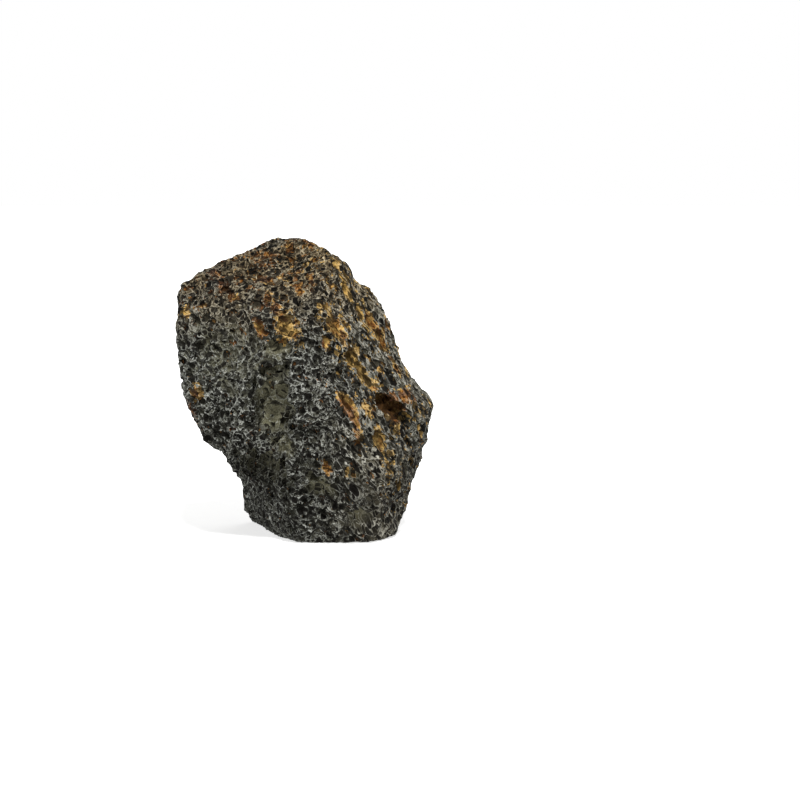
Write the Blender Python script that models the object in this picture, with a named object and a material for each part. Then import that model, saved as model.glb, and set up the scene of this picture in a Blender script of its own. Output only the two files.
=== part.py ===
"""Lava rock: one loose piece of vesicular basalt as a closed, faceted solid.

The stone stands on a flat base, with its longest side upright. Its form is written as a distance
from one point inside it, the form centre, in every direction: two blocks of flat faces melt into
one body, which wavy relief and broad hollows then shape. Gas bubbles are cut out of it as spheres,
drawn out along the flow of the lava.

Metres, +Z up. The front of the stone faces -Y, and the origin is in the middle of the base.
"""
import bmesh
import bpy
import numpy as np
from mathutils import Matrix, Vector

MM = 0.001
NAME = "lava_rock"

# The form centre, as a place in the finished stone. Its height is the flat base's depth below it.
FORM_CENTRE = np.array([-5.8, 0.1, 114.0]) * MM

# Flat faces of the upright body and of the shoulder and foot that stand out of it at the right.
# Each is an azimuth and an elevation in degrees and a distance from the form centre in mm.
# Azimuth 0 faces the front, 90 the right, and elevation 90 is straight up.
BODY_FACES = [
    (-90, 2, 97), (-90, -10, 90), (-83, -37, 79), (-66, -69, 78), (-90, 49, 131), (-90, 26, 123),
    (-110, 73, 121), (153, 84, 124), (90, 49, 108), (90, 41, 95), (90, 19, 83), (90, -12, 90), (90, -60, 100),
    (-18, 49, 104), (-30, -1, 86), (26, 16, 80), (3, -13, 84), (-23, -40, 86), (51, 17, 80),
    (-164, 23, 78), (154, 7, 74), (-133, -6, 84), (-177, -22, 82), (157, 51, 96), (-129, 45, 110), (121, 12, 80),
]
SHOULDER_FACES = [
    (-63, -12, 51), (-90, 45, 40), (90, 41, 70), (93, 22, 96), (90, -2, 112), (90, -20, 109), (0, -12, 82),
    (18, 18, 66), (49, -6, 95), (174, -9, 78), (131, -6, 98), (-135, -9, 72), (167, 27, 70), (0, -90, 124),
]
FACE_SHARPNESS = 30.0
JOIN_SHARPNESS = 24.0
JOIN_SIZE = 100 * MM

# Wavy relief. The faces are bent by a turn of up to a few degrees, and then lumps, ridges and crags
# are added. The crests of ridges and crags rise by the crest level and the valleys sink below it.
BEND = 0.028
BEND_LENGTH = 75 * MM
LUMP = 1.3 * MM
LUMP_LENGTH = 42 * MM
RIDGE = 2.0 * MM
RIDGE_LENGTH = 58 * MM
CRAG = 1.5 * MM
CRAG_LENGTH = 21 * MM
CREST_LEVEL = 0.6
RAGGED_RIM = 0.16
RAGGED_LENGTH = 13 * MM
WAVES = 20

# Hollows: azimuth and elevation in degrees, radius in mm, how much wider than high, depth in mm, the
# share of the radius that is level floor, and how far the floor goes up under the upper rim, in mm.
HOLLOWS = [
    # front, left of the middle: a broad dish with a dent and a row of scalloped pockets beside it
    (-38, 26, 46, 1.0, 4.5, 0.0, 0), (-33, 20, 6, 0.7, 3.0, 0.2, 0), (-10, 25, 8, 1.7, 5.0, 0.6, 5),
    (-11, 13, 9, 1.6, 6.0, 0.6, 6), (-12, -2, 27, 0.62, 10.5, 0.75, 9), (-22, -12, 10, 1.2, 3.0, 0.2, 1),
    (-10, -21, 6, 1.3, 4.0, 0.4, 2), (-5, -26, 7, 1.3, 4.5, 0.4, 2),
    # the recess under the bulge at the lower left, beside the foot
    (-30, -42, 22, 1.6, 17.0, 0.6, 8),
    # front, right: a crevice over the foot, a shallow dish on it and a notch beside that
    (29, -33, 8, 1.6, 6.0, 0.3, 4), (14, -43, 13, 1.0, 5.0, 0.4, 1), (40, -50, 11, 1.3, 5.0, 0.4, 3),
    # top
    (-50, 62, 17, 1.3, 3.0, 0.1, 0), (20, 72, 14, 1.3, 2.5, 0.2, 0), (-150, 70, 16, 1.0, 4.0, 0.2, 0),
    # right, left and back
    (96, -24, 15, 1.3, 5.0, 0.3, 3), (118, 4, 17, 1.2, 5.5, 0.3, 3), (124, 34, 14, 1.3, 4.5, 0.3, 2),
    (-84, 10, 17, 1.0, 3.0, 0.2, 0), (-100, -16, 12, 1.5, 5.0, 0.4, 4), (-118, 20, 22, 1.0, 5.5, 0.2, 1),
    (-140, -8, 13, 1.4, 5.0, 0.4, 3), (-165, 8, 10, 1.6, 5.5, 0.4, 4), (-158, 38, 20, 1.2, 5.0, 0.2, 1),
    (150, 22, 15, 1.4, 5.5, 0.4, 3), (172, -22, 14, 1.4, 5.0, 0.3, 3), (142, -28, 13, 1.2, 5.0, 0.3, 2),
    (178, 20, 9, 1.5, 4.0, 0.4, 2),
]

# Gas bubbles are balls drawn out along the flow of the lava. Those placed by hand have an azimuth and
# an elevation in degrees, the half width of the mouth in mm, the stretch, and the depth in mm.
FLOW = np.array([0.50, 0.0, -0.86])
PLACED_BUBBLES = [
    # the deepest cavity, at the right of the front, in three lobes that run into each other
    (52, -1, 8.5, 1.1, 14.0), (57, -6, 8.5, 1.1, 13.0), (63, -11, 6.5, 1.2, 9.0),
    # the scalloped pockets down the front, left of the middle
    (-9, 27, 7.5, 1.0, 5.5), (-13, 14, 8.0, 1.0, 6.0), (-7, 12, 6.0, 1.0, 5.0), (-15, 2, 9.0, 1.0, 4.5),
    (-8, 0, 7.5, 1.1, 4.5), (-13, -11, 8.5, 1.0, 4.0),
    # the long shallow ones that hold ochre, on the front's right half
    (-4, 38, 7.0, 1.5, 5.0), (-19, 35, 3.6, 1.8, 3.2), (27, 40, 6.4, 2.0, 5.0), (20, 33, 4.0, 1.5, 3.2),
    (38, 25, 6.6, 1.3, 6.0), (44, 16, 4.8, 2.3, 4.0), (44, 57, 3.6, 2.2, 3.0), (54, 48, 3.5, 2.0, 2.6),
    (61, 41, 4.0, 2.0, 3.4), (65, 31, 5.0, 2.0, 4.2), (68, 16, 4.6, 2.0, 3.8), (79, 21, 4.4, 2.0, 3.6),
    (28, 0, 3.0, 2.4, 3.2), (32, -9, 3.0, 2.4, 3.2), (46, -19, 6.0, 1.8, 5.0), (73, 5, 4.0, 2.0, 3.2),
    (76, -10, 4.0, 2.2, 3.2), (34, -20, 3.6, 1.6, 3.0), (48, -34, 4.0, 1.8, 3.4), (17, -32, 4.0, 1.2, 3.2),
    # and on the right side and the back
    (88, 40, 5.0, 2.0, 2.6), (96, 14, 6.0, 2.2, 3.2), (106, 28, 5.0, 2.0, 3.0), (118, -14, 6.0, 2.0, 3.4),
    (138, 12, 5.0, 2.0, 2.8), (160, 42, 6.0, 1.8, 3.0), (-168, 24, 5.0, 1.6, 3.0),
]

# The rest lie at random. The number wider than a radius falls by the power as it grows.
RANDOM_BUBBLES = 34
BUBBLE_RADIUS = 3.0 * MM
LARGEST_BUBBLE = 5.6 * MM
BUBBLE_POWER = 3.5
BUBBLE_SEED = 23
BUBBLE_TRIES = 4000
BUBBLE_SPACING = 1.2
BASE_MARGIN = 4 * MM
DRAWN_FROM = 0 * MM
DRAWN_TO = 55 * MM
MOST_STRETCH = 1.9
RANDOM_DEPTH = 0.8

# Balls of triangles: how often the first 20 faces are split, for the form, the wide bubbles and the rest.
FORM_SPLITS = 5
SAW_CLEARANCE = 0.3 * MM
WIDE_BUBBLE = 4.4 * MM
WIDE_SPLITS = 2
SMALL_SPLITS = 1

# A short turn across the surface, in radians, by which its slope is measured.
STEP = 0.02

STONE_COLOUR = (0.089, 0.074, 0.048, 1.0)
STONE_ROUGHNESS = 0.95


def unit(azimuth, elevation):
    """Unit vectors at azimuths and elevations given in degrees."""
    a, e = np.radians(azimuth), np.radians(elevation)
    return np.stack([np.sin(a) * np.cos(e), -np.cos(a) * np.cos(e), np.sin(e)], axis=-1)


def waves(points, length, seed):
    """Smooth random height at points: a sum of sine waves in all directions, about one length long."""
    rng = np.random.default_rng(seed)
    heading = rng.normal(size=(WAVES, 3))
    heading /= np.linalg.norm(heading, axis=1, keepdims=True)
    turns = heading * rng.uniform(0.7, 1.4, (WAVES, 1)) / length
    phase = rng.uniform(0, 1, WAVES)
    return np.sin(2 * np.pi * (points @ turns.T + phase)).sum(axis=1) * np.sqrt(2 / WAVES)


def block(directions, faces):
    """Distance to the surface of a convex block with the given faces and slightly rounded edges."""
    azimuth, elevation, distance = np.array(faces, float).T
    reach = np.maximum(directions @ unit(azimuth, elevation).T, 0) / (distance * MM)
    return (reach ** FACE_SHARPNESS).sum(axis=1) ** (-1 / FACE_SHARPNESS)


def plain_form(directions):
    """Points of the stone before hollows, about the form centre: two blocks melted into one body."""
    ball = directions * JOIN_SIZE
    bend = np.stack([waves(ball, BEND_LENGTH, seed) for seed in (1, 2, 3)], axis=1)
    bent = directions + BEND * bend
    bent /= np.linalg.norm(bent, axis=1, keepdims=True)
    both = np.stack([block(bent, BODY_FACES), block(bent, SHOULDER_FACES)]) / JOIN_SIZE
    radius = JOIN_SIZE * (both ** JOIN_SHARPNESS).sum(axis=0) ** (1 / JOIN_SHARPNESS)
    points = directions * radius[:, None]
    radius += LUMP * waves(points, LUMP_LENGTH, 4)
    radius += RIDGE * (CREST_LEVEL - np.abs(waves(points, RIDGE_LENGTH, 5)))
    radius += CRAG * (CREST_LEVEL - np.abs(waves(points, CRAG_LENGTH, 6)))
    return directions * radius[:, None]


def hollow_share(plain, hollow, ragged):
    """How far each point of the plain form lies in a hollow: 0 outside, rising smoothly to 1 on its floor.

    ragged is a random height at each point, by which the hollow's rim wanders.
    """
    azimuth, elevation, radius, wide, _, floor, _ = hollow
    middle = plain_form(unit(azimuth, elevation)[None, :])[0]
    away = np.linalg.norm((plain - middle) / np.array([wide, wide, 1]), axis=1) / (radius * MM)
    share = np.clip((1 - away - RAGGED_RIM * ragged) / (1 - floor), 0, 1)
    return share * share * (3 - 2 * share)


def form(directions):
    """Points of the stone's surface in the given directions, with its hollows but not yet its base."""
    plain = plain_form(directions)
    points = plain.copy()
    ragged = waves(plain, RAGGED_LENGTH, 7)
    for hollow in HOLLOWS:
        azimuth, elevation, _, _, depth, _, lift = hollow
        move = -unit(azimuth, elevation) * depth + np.array([0, 0, lift])
        points += hollow_share(plain, hollow, ragged)[:, None] * move * MM
    return points + FORM_CENTRE


def bubbles():
    """Places, mouth half widths, stretches and depths of the bubbles of the solid, in metres.

    Those placed by hand come first. The others are dropped on the surface at random, the largest
    first, and kept where they clear the base and each other.
    """
    azimuth, elevation, width, stretch, depth = np.array(PLACED_BUBBLES, float).T
    found = list(zip(form(unit(azimuth, elevation)), width * MM, stretch, depth * MM))
    rng = np.random.default_rng(BUBBLE_SEED)
    directions = rng.normal(size=(BUBBLE_TRIES, 3))
    directions /= np.linalg.norm(directions, axis=1, keepdims=True)
    places = form(directions)
    reach = np.linalg.norm(places - FORM_CENTRE, axis=1)
    by_area = rng.uniform(0, 1, BUBBLE_TRIES) < (reach / reach.max()) ** 2
    for place in places[by_area]:
        count = len(found) - len(PLACED_BUBBLES)
        if count == RANDOM_BUBBLES:
            break
        radius = min(BUBBLE_RADIUS * (RANDOM_BUBBLES / (count + 1)) ** (1 / BUBBLE_POWER), LARGEST_BUBBLE)
        drawn = 1 + (MOST_STRETCH - 1) * np.clip((place[0] - DRAWN_FROM) / (DRAWN_TO - DRAWN_FROM), 0, 1)
        clear = all(
            np.linalg.norm(place - other[0]) > BUBBLE_SPACING * (radius * drawn + other[1] * other[2])
            for other in found
        )
        if clear and place[2] > radius * drawn + BASE_MARGIN:
            found.append((place, radius, drawn, radius * RANDOM_DEPTH))
    return found


def stone_material():
    """Dull grey-brown basalt."""
    material = bpy.data.materials.new("basalt")
    material.use_nodes = True
    shader = material.node_tree.nodes["Principled BSDF"]
    shader.inputs["Base Color"].default_value = STONE_COLOUR
    shader.inputs["Roughness"].default_value = STONE_ROUGHNESS
    shader.inputs["Metallic"].default_value = 0.0
    material.diffuse_color = STONE_COLOUR
    return material


def new_object(name, bm, collection):
    """An object from a bmesh, in the given collection."""
    mesh = bpy.data.meshes.new(name)
    bm.to_mesh(mesh)
    bm.free()
    thing = bpy.data.objects.new(name, mesh)
    collection.objects.link(thing)
    return thing


def stone(collection):
    """The stone before its bubbles are cut: a ball of triangles moved onto the form, sawn off at its base."""
    bm = bmesh.new()
    bmesh.ops.create_icosphere(bm, subdivisions=FORM_SPLITS, radius=1.0)
    directions = np.array([vertex.co[:] for vertex in bm.verts])
    directions /= np.linalg.norm(directions, axis=1, keepdims=True)
    for vertex, place in zip(bm.verts, form(directions)):
        vertex.co = place
    everything = bm.verts[:] + bm.edges[:] + bm.faces[:]
    sawn = bmesh.ops.bisect_plane(
        bm, geom=everything, dist=SAW_CLEARANCE, plane_co=(0, 0, 0), plane_no=(0, 0, -1), clear_outer=True,
    )
    for vertex in (item for item in sawn["geom_cut"] if isinstance(item, bmesh.types.BMVert)):
        vertex.co.z = 0
    rim = [item for item in sawn["geom_cut"] if isinstance(item, bmesh.types.BMEdge)]
    bmesh.ops.contextual_create(bm, geom=rim)
    bmesh.ops.recalc_face_normals(bm, faces=bm.faces[:])
    return new_object(NAME, bm, collection)


def outward(places):
    """Unit normals of the form at places on it, from two short steps across each."""
    directions = (places - FORM_CENTRE) / np.linalg.norm(places - FORM_CENTRE, axis=1, keepdims=True)
    first = np.cross(directions, FLOW)
    second = np.cross(directions, first)
    here = form(directions)
    normals = np.cross(form(directions + STEP * first) - here, form(directions + STEP * second) - here)
    return normals / np.linalg.norm(normals, axis=1, keepdims=True)


def bubble_cutter(collection):
    """All gas bubbles as one mesh of balls, each drawn out along the flow of the lava.

    A ball with a mouth of half width w and a depth d has the radius (w * w + d * d) / 2d, and its
    middle lies that radius less d above the surface.
    """
    bm = bmesh.new()
    flow = Vector(FLOW).normalized()
    found = bubbles()
    normals = outward(np.array([bubble[0] for bubble in found]))
    for (place, width, stretch, depth), normal in zip(found, normals):
        radius = (width ** 2 + depth ** 2) / (2 * depth)
        middle = Matrix.Translation(place + normal * (radius - depth))
        splits = WIDE_SPLITS if width > WIDE_BUBBLE else SMALL_SPLITS
        bmesh.ops.create_icosphere(
            bm, subdivisions=splits, radius=radius, matrix=middle @ Matrix.Scale(stretch, 4, flow),
        )
    cutter = new_object("bubbles", bm, collection)
    cutter.hide_render = True
    cutter.display_type = 'WIRE'
    return cutter


def new_collection(name):
    """A collection of the given name in the scene."""
    collection = bpy.data.collections.new(name)
    bpy.context.scene.collection.children.link(collection)
    return collection


def main():
    for thing in list(bpy.data.objects):
        bpy.data.objects.remove(thing)
    parts = new_collection("lava rock")
    cutters = new_collection("cutters")
    rock = stone(parts)
    rock.data.materials.append(stone_material())
    cut = rock.modifiers.new("bubbles", 'BOOLEAN')
    cut.operation = 'DIFFERENCE'
    cut.solver = 'EXACT'
    cut.use_self = True
    cut.object = bubble_cutter(cutters)


main()
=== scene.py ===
"""Lava rock, finished: the stone's bubbled surface and its colours, on a pale studio floor.

The surface replaces the CAD solid. It follows the same form, written as a distance from one point
inside the stone in every direction, and carries thousands of gas bubbles that the solid leaves out.
Metres, +Z up; the front of the stone faces -Y, and the origin is in the middle of its base.
"""
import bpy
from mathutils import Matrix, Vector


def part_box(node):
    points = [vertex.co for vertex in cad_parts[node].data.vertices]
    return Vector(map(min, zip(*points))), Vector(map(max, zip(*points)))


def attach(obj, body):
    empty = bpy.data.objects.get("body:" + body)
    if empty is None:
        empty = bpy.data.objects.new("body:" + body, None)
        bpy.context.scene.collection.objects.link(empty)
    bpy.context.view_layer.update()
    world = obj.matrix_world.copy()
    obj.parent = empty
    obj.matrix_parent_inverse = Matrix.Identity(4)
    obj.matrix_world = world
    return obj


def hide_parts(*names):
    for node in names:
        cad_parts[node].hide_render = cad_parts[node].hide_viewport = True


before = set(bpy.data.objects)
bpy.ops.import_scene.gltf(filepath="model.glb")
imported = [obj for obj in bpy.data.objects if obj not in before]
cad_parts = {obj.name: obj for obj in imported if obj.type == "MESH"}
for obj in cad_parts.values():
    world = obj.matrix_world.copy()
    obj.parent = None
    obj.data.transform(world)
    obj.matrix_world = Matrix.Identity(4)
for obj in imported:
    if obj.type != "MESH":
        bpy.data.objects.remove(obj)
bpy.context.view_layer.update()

from types import SimpleNamespace

import bpy
import numpy as np
from bpy.props import FloatProperty, FloatVectorProperty, IntProperty, PointerProperty
from mathutils import Vector
from mathutils.kdtree import KDTree

bl_info = {
    "name": "Lava Rock",
    "version": (1, 0, 0),
    "blender": (4, 5, 0),
    "location": "View3D > Sidebar > Lava Rock",
    "description": "Builds a loose piece of bubbled basalt with rust-coloured patches, and a studio for it",
    "category": "Add Mesh",
}

MM = 0.001
NODE = "lava_rock"

# The form centre, as a place in the finished stone. Its height is the flat base's depth below it.
FORM_CENTRE = np.array([-5.8, 0.1, 114.0]) * MM

# Flat faces of the upright body and of the shoulder and foot that stand out of it at the right.
# Each is an azimuth and an elevation in degrees and a distance from the form centre in mm.
# Azimuth 0 faces the front, 90 the right, and elevation 90 is straight up.
BODY_FACES = [
    (-90, 2, 97), (-90, -10, 90), (-83, -37, 79), (-66, -69, 78), (-90, 49, 131), (-90, 26, 123),
    (-110, 73, 121), (153, 84, 124), (90, 49, 108), (90, 41, 95), (90, 19, 83), (90, -12, 90), (90, -60, 100),
    (-18, 49, 104), (-30, -1, 86), (26, 16, 80), (3, -13, 84), (-23, -40, 86), (51, 17, 80),
    (-164, 23, 78), (154, 7, 74), (-133, -6, 84), (-177, -22, 82), (157, 51, 96), (-129, 45, 110),
    (121, 12, 80),
]
SHOULDER_FACES = [
    (-63, -12, 51), (-90, 45, 40), (90, 41, 70), (93, 22, 96), (90, -2, 112), (90, -20, 109), (0, -12, 82),
    (18, 18, 66), (49, -6, 95), (174, -9, 78), (131, -6, 98), (-135, -9, 72), (167, 27, 70), (0, -90, 124),
]
FACE_SHARPNESS = 30.0
JOIN_SHARPNESS = 24.0
JOIN_SIZE = 100 * MM

# Wavy relief. The faces are bent by a turn of up to a few degrees, and then lumps, ridges and crags
# are added. The crests of ridges and crags rise by the crest level and the valleys sink below it.
BEND = 0.028
BEND_LENGTH = 75 * MM
LUMP = 1.3 * MM
LUMP_LENGTH = 42 * MM
RIDGE = 2.0 * MM
RIDGE_LENGTH = 58 * MM
CRAG = 1.5 * MM
CRAG_LENGTH = 21 * MM
CREST_LEVEL = 0.6
RAGGED_RIM = 0.16
RAGGED_LENGTH = 13 * MM
WAVES = 20

# Hollows: azimuth and elevation in degrees, radius in mm, how much wider than high, depth in mm, the
# share of the radius that is level floor, and how far the floor goes up under the upper rim, in mm.
HOLLOWS = [
    # front, left of the middle: a broad dish with a dent and a row of scalloped pockets beside it
    (-38, 26, 46, 1.0, 4.5, 0.0, 0), (-33, 20, 6, 0.7, 3.0, 0.2, 0), (-10, 25, 8, 1.7, 5.0, 0.6, 5),
    (-11, 13, 9, 1.6, 6.0, 0.6, 6), (-12, -2, 27, 0.62, 10.5, 0.75, 9), (-22, -12, 10, 1.2, 3.0, 0.2, 1),
    (-10, -21, 6, 1.3, 4.0, 0.4, 2), (-5, -26, 7, 1.3, 4.5, 0.4, 2),
    # the recess under the bulge at the lower left, beside the foot
    (-30, -42, 22, 1.6, 17.0, 0.6, 8),
    # front, right: a crevice over the foot, a shallow dish on it and a notch beside that
    (29, -33, 8, 1.6, 6.0, 0.3, 4), (14, -43, 13, 1.0, 5.0, 0.4, 1), (40, -50, 11, 1.3, 5.0, 0.4, 3),
    # top
    (-50, 62, 17, 1.3, 3.0, 0.1, 0), (20, 72, 14, 1.3, 2.5, 0.2, 0), (-150, 70, 16, 1.0, 4.0, 0.2, 0),
    # right, left and back
    (96, -24, 15, 1.3, 5.0, 0.3, 3), (118, 4, 17, 1.2, 5.5, 0.3, 3), (124, 34, 14, 1.3, 4.5, 0.3, 2),
    (-84, 10, 17, 1.0, 3.0, 0.2, 0), (-100, -16, 12, 1.5, 5.0, 0.4, 4), (-118, 20, 22, 1.0, 5.5, 0.2, 1),
    (-140, -8, 13, 1.4, 5.0, 0.4, 3), (-165, 8, 10, 1.6, 5.5, 0.4, 4), (-158, 38, 20, 1.2, 5.0, 0.2, 1),
    (150, 22, 15, 1.4, 5.5, 0.4, 3), (172, -22, 14, 1.4, 5.0, 0.3, 3), (142, -28, 13, 1.2, 5.0, 0.3, 2),
    (178, 20, 9, 1.5, 4.0, 0.4, 2),
]

# Gas bubbles are balls drawn out along the flow of the lava. Those listed have an azimuth and
# an elevation in degrees, the half width of the mouth in mm, the stretch, and the depth in mm.
FLOW = np.array([0.50, 0.0, -0.86])
PLACED_BUBBLES = [
    # the deepest cavity, at the right of the front, in three lobes that run into each other
    (52, -1, 8.5, 1.1, 14.0), (57, -6, 8.5, 1.1, 13.0), (63, -11, 6.5, 1.2, 9.0),
    # the scalloped pockets down the front, left of the middle
    (-9, 27, 7.5, 1.0, 5.5), (-13, 14, 8.0, 1.0, 6.0), (-7, 12, 6.0, 1.0, 5.0), (-15, 2, 9.0, 1.0, 4.5),
    (-8, 0, 7.5, 1.1, 4.5), (-13, -11, 8.5, 1.0, 4.0),
    # the long shallow ones that hold ochre, on the front's right half
    (-4, 38, 7.0, 1.5, 5.0), (-19, 35, 3.6, 1.8, 3.2), (27, 40, 6.4, 2.0, 5.0), (20, 33, 4.0, 1.5, 3.2),
    (38, 25, 6.6, 1.3, 6.0), (44, 16, 4.8, 2.3, 4.0), (44, 57, 3.6, 2.2, 3.0), (54, 48, 3.5, 2.0, 2.6),
    (61, 41, 4.0, 2.0, 3.4), (65, 31, 5.0, 2.0, 4.2), (68, 16, 4.6, 2.0, 3.8), (79, 21, 4.4, 2.0, 3.6),
    (28, 0, 3.0, 2.4, 3.2), (32, -9, 3.0, 2.4, 3.2), (46, -19, 6.0, 1.8, 5.0), (73, 5, 4.0, 2.0, 3.2),
    (76, -10, 4.0, 2.2, 3.2), (34, -20, 3.6, 1.6, 3.0), (48, -34, 4.0, 1.8, 3.4), (17, -32, 4.0, 1.2, 3.2),
    # and on the right side and the back
    (88, 40, 5.0, 2.0, 2.6), (96, 14, 6.0, 2.2, 3.2), (106, 28, 5.0, 2.0, 3.0), (118, -14, 6.0, 2.0, 3.4),
    (138, 12, 5.0, 2.0, 2.8), (160, 42, 6.0, 1.8, 3.0), (-168, 24, 5.0, 1.6, 3.0),
]

# The rest lie at random. The number wider than a radius falls by the power as it grows.
RANDOM_BUBBLES = 34
BUBBLE_RADIUS = 3.0 * MM
LARGEST_BUBBLE = 5.6 * MM
BUBBLE_POWER = 3.5
BUBBLE_SEED = 23
BUBBLE_TRIES = 4000
BUBBLE_SPACING = 1.2
BASE_MARGIN = 4 * MM
DRAWN_FROM = 0 * MM
DRAWN_TO = 55 * MM
MOST_STRETCH = 1.9
RANDOM_DEPTH = 0.8


def unit(azimuth, elevation):
    """Unit vectors at azimuths and elevations given in degrees."""
    a, e = np.radians(azimuth), np.radians(elevation)
    return np.stack([np.sin(a) * np.cos(e), -np.cos(a) * np.cos(e), np.sin(e)], axis=-1)


def waves(points, length, seed):
    """Smooth random height at points: a sum of sine waves in all directions, about one length long."""
    rng = np.random.default_rng(seed)
    heading = rng.normal(size=(WAVES, 3))
    heading /= np.linalg.norm(heading, axis=1, keepdims=True)
    turns = heading * rng.uniform(0.7, 1.4, (WAVES, 1)) / length
    phase = rng.uniform(0, 1, WAVES)
    return np.sin(2 * np.pi * (points @ turns.T + phase)).sum(axis=1) * np.sqrt(2 / WAVES)


def block(directions, faces):
    """Distance to the surface of a convex block with the given faces and slightly rounded edges."""
    azimuth, elevation, distance = np.array(faces, float).T
    reach = np.maximum(directions @ unit(azimuth, elevation).T, 0) / (distance * MM)
    return (reach ** FACE_SHARPNESS).sum(axis=1) ** (-1 / FACE_SHARPNESS)


def plain_form(directions):
    """Points of the stone before hollows, about the form centre: two blocks melted into one body."""
    ball = directions * JOIN_SIZE
    bend = np.stack([waves(ball, BEND_LENGTH, seed) for seed in (1, 2, 3)], axis=1)
    bent = directions + BEND * bend
    bent /= np.linalg.norm(bent, axis=1, keepdims=True)
    both = np.stack([block(bent, BODY_FACES), block(bent, SHOULDER_FACES)]) / JOIN_SIZE
    radius = JOIN_SIZE * (both ** JOIN_SHARPNESS).sum(axis=0) ** (1 / JOIN_SHARPNESS)
    points = directions * radius[:, None]
    radius += LUMP * waves(points, LUMP_LENGTH, 4)
    radius += RIDGE * (CREST_LEVEL - np.abs(waves(points, RIDGE_LENGTH, 5)))
    radius += CRAG * (CREST_LEVEL - np.abs(waves(points, CRAG_LENGTH, 6)))
    return directions * radius[:, None]


def hollow_share(plain, hollow, ragged):
    """How far each point of the plain form lies in a hollow: 0 outside, rising smoothly to 1 on its floor.

    ragged is a random height at each point, by which the hollow's rim wanders.
    """
    azimuth, elevation, radius, wide, _, floor, _ = hollow
    middle = plain_form(unit(azimuth, elevation)[None, :])[0]
    away = np.linalg.norm((plain - middle) / np.array([wide, wide, 1]), axis=1) / (radius * MM)
    share = np.clip((1 - away - RAGGED_RIM * ragged) / (1 - floor), 0, 1)
    return share * share * (3 - 2 * share)


def form(directions):
    """Points of the stone's surface in the given directions, with its hollows but not yet its base."""
    plain = plain_form(directions)
    points = plain.copy()
    ragged = waves(plain, RAGGED_LENGTH, 7)
    for hollow in HOLLOWS:
        azimuth, elevation, _, _, depth, _, lift = hollow
        move = -unit(azimuth, elevation) * depth + np.array([0, 0, lift])
        points += hollow_share(plain, hollow, ragged)[:, None] * move * MM
    return points + FORM_CENTRE


def bubbles():
    """Places, mouth half widths, stretches and depths of the bubbles of the solid, in metres.

    Those listed come first. The others are dropped on the surface at random, the largest
    first, and kept where they clear the base and each other.
    """
    azimuth, elevation, width, stretch, depth = np.array(PLACED_BUBBLES, float).T
    found = list(zip(form(unit(azimuth, elevation)), width * MM, stretch, depth * MM))
    rng = np.random.default_rng(BUBBLE_SEED)
    directions = rng.normal(size=(BUBBLE_TRIES, 3))
    directions /= np.linalg.norm(directions, axis=1, keepdims=True)
    places = form(directions)
    reach = np.linalg.norm(places - FORM_CENTRE, axis=1)
    by_area = rng.uniform(0, 1, BUBBLE_TRIES) < (reach / reach.max()) ** 2
    for place in places[by_area]:
        count = len(found) - len(PLACED_BUBBLES)
        if count == RANDOM_BUBBLES:
            break
        radius = min(BUBBLE_RADIUS * (RANDOM_BUBBLES / (count + 1)) ** (1 / BUBBLE_POWER), LARGEST_BUBBLE)
        drawn = 1 + (MOST_STRETCH - 1) * np.clip((place[0] - DRAWN_FROM) / (DRAWN_TO - DRAWN_FROM), 0, 1)
        clear = all(
            np.linalg.norm(place - other[0]) > BUBBLE_SPACING * (radius * drawn + other[1] * other[2])
            for other in found
        )
        if clear and place[2] > radius * drawn + BASE_MARGIN:
            found.append((place, radius, drawn, radius * RANDOM_DEPTH))
    return found


# Bubbles that only the finish has, in sets. Each set has the cells along each side of a cube over
# which its bubbles are spread, one to a cell, the share of the cells that have one, the narrowest
# and widest half width of a mouth in mm, the most that they are stretched, and the most that one is
# deep for its half width. Within those limits a bubble is as wide as it can be before it touches the
# nearest of its set.
BUBBLE_SETS = [
    (16, 0.55, 2.2, 3.6, 2.6, 1.0),
    (33, 0.92, 1.0, 2.8, 2.4, 1.25),
    (64, 0.45, 0.7, 1.1, 2.2, 1.6),
]
TOUCH = 1.08
JITTER = 0.45
SHALLOW = 0.45
FINISH_SEED = 77
BUBBLE_SHIFT = np.array([0.0, -0.06, 0.28])

# The surface starts as a grid, packed closer at the front and the top. It lies a skin inside the
# solid, and is rough by a little more, and its lower edge is rounded by a power. Points nearer to a
# bubble's rim than the snap slide onto it. A wall gets a painted highlight so far from a rim, and so
# far down from its crest. A bubble runs in under its upper rim by a share of its depth, less where it
# is round, and its upper end gets painted shade from a share of its length on.
GRID_SHIFT = np.array([0.12, -0.28, 0.22])
RIM_SNAP = 0.45 * MM
WALL_WIDTH = 0.6 * MM
CREST_DROP = 0.5 * MM
SKIN = 0.3 * MM
ROUGH = 0.35 * MM
ROUGH_LENGTH = 6 * MM
CREASE_ANGLE = np.radians(32)
BASE_LEVEL = 1.2 * MM
BASE_ROUNDING = 70.0
UNDERCUT = 0.35
ROUND_UNDERCUT = 0.5
SHADE_DEPTH = 1.4
SHADE_FROM = 0.05
SHADE_WIDTH = 0.6

# How calm hollows are: the share of small bubbles that a level floor keeps away, how far a dish
# without a level floor counts as one, the least level share and the least radius of a dish in mm that
# count, and how far the olive covers a floor.
FLOOR_CALM = 0.85
DISH_CALM = 0.6
LEVEL_FLOOR = 0.3
DISH_RADIUS = 40
FLOOR_COVER = 0.7

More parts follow.
